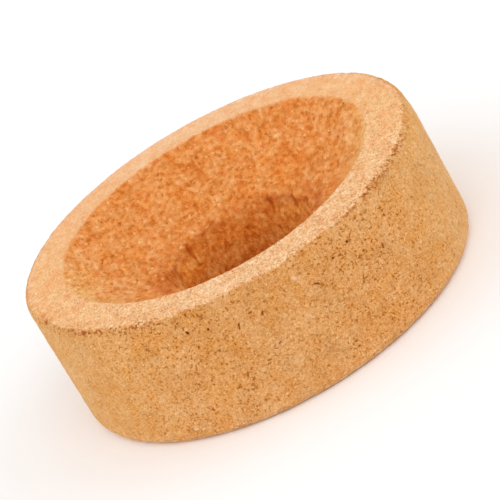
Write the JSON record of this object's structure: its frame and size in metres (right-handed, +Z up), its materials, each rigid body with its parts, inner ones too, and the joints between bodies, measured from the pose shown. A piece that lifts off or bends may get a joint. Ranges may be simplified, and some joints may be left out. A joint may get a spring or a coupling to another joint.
{
  "type": "cork ring",
  "caption": "Round cork support ring with a hollowed seat that narrows to a straight bore, for standing a round-bottomed flask upright.",
  "frame": {"origin": "centre of the flat base, on the surface that the ring stands on", "axes": "+Z up along the ring's axis, from the base towards the seat's mouth; +X and +Y are any two directions across it, as the ring is the same all round"},
  "size_m": [0.08, 0.08, 0.0265],
  "materials": {
    "cork": "matt, fine-grained agglomerated cork"
  },
  "bodies": {
    "root": {"ring": "cork"}
  },
  "joints": []
}
